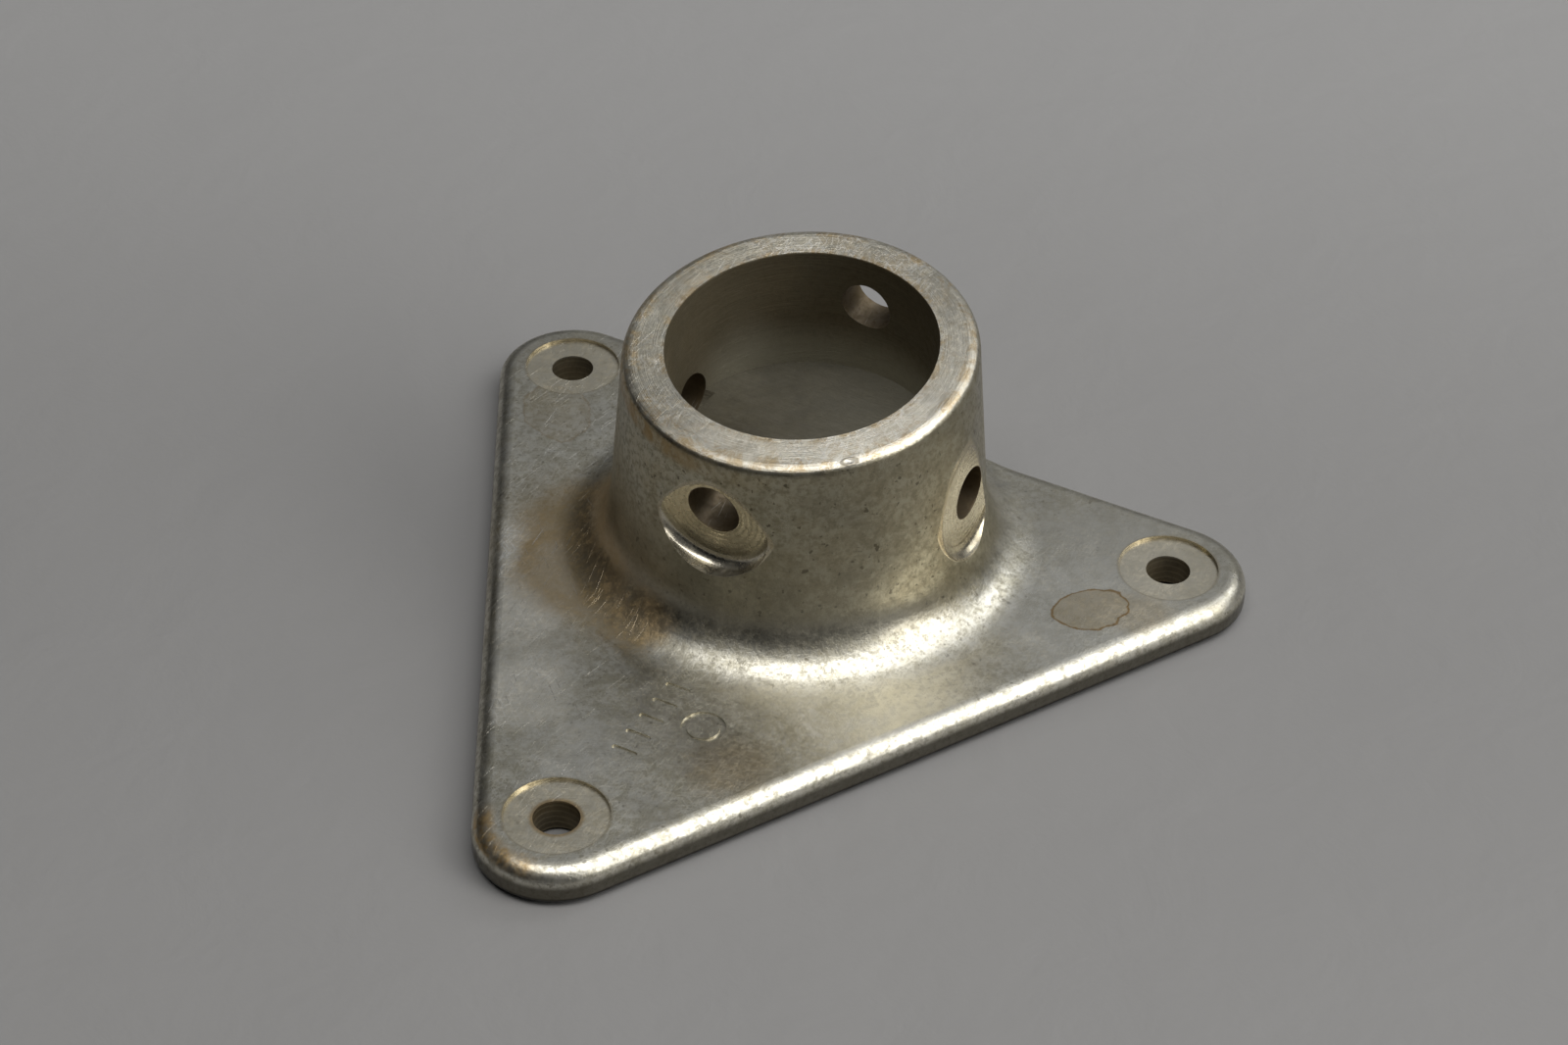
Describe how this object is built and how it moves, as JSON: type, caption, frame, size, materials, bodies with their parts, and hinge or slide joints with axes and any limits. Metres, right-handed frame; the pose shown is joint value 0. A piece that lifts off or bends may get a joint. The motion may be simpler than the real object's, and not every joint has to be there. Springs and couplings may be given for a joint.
{
  "type": "deck socket with a three-cornered flange",
  "caption": "Three-cornered flanged deck socket with a round upright boss, a slightly leaned blind bore for a tube and radial cross holes for its fastenings.",
  "frame": {"origin": "centre of the screw-hole circle, on the flat face that sits on the deck", "axes": "+Z out of the deck, towards the socket's mouth; -Y towards the plate corner that the bore leans to; +X along the plate's straight rear edge, to the right when seen from the front corner"},
  "size_m": [0.102, 0.0908, 0.0353],
  "materials": {
    "body": "aged satin plating over forged metal, machined rim and bore"
  },
  "bodies": {
    "root": {"pad_body": "body"}
  },
  "joints": []
}
